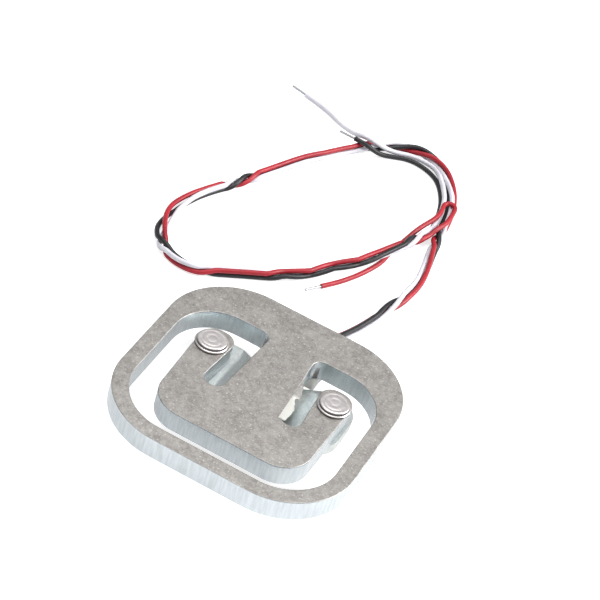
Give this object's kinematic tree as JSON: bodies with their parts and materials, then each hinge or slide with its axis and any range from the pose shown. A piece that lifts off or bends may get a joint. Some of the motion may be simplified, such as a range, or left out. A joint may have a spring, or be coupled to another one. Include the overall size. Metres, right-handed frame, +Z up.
{
  "type": "half-bridge load cell",
  "caption": "Flat stamped load cell: a square ring and a sprung tongue on a gauged beam, a riveted load bracket underneath and a thin twisted lead of bare-ended wires.",
  "frame": {"origin": "under the middle of the plate, at the level of the load button's flat face on which the cell stands", "axes": "+Z up, along the plate's thickness, out of its bare flat face; +Y towards the root of the beam, where the lead leaves; +X to the right of that"},
  "size_m": [0.0468, 0.09, 0.0082],
  "materials": {
    "plate_steel": "zinc plated, mottled, satin",
    "bracket_steel": "zinc plated, satin",
    "rivet_metal": "smooth, light",
    "gauge_film": "amber film",
    "gauge_foil": "etched foil",
    "strip_board": "board",
    "pad_copper": "tinned copper",
    "solder": "solder",
    "link_lacquer": "lacquered copper",
    "silicone": "white silicone",
    "insulation_red": "soft insulation",
    "insulation_white": "soft insulation",
    "insulation_black": "soft insulation",
    "insulation_mixed": "three twisted insulated wires",
    "tinned_core": "tinned strands"
  },
  "bodies": {
    "root": {"sensing_plate": "plate_steel", "force_bracket": "bracket_steel", "rivet_left": "rivet_metal", "rivet_right": "rivet_metal", "gauge_film_front": "gauge_film", "gauge_film_back": "gauge_film", "gauge_grid_front": "gauge_foil", "gauge_grid_back": "gauge_foil", "terminal_strip": "strip_board", "terminal_pads": "pad_copper", "solder_joint_red": "solder", "solder_joint_white": "solder", "solder_joint_black": "solder", "link_wires": "link_lacquer", "silicone_coating": "silicone", "lead_tail_red": "insulation_red", "lead_tail_white": "insulation_white", "lead_tail_black": "insulation_black", "wire_bundle": "insulation_mixed", "wire_end_white": "insulation_white", "tinned_end_white": "tinned_core", "wire_end_black": "insulation_black", "tinned_end_black": "tinned_core", "wire_end_red": "insulation_red", "tinned_end_red": "tinned_core"}
  },
  "joints": []
}
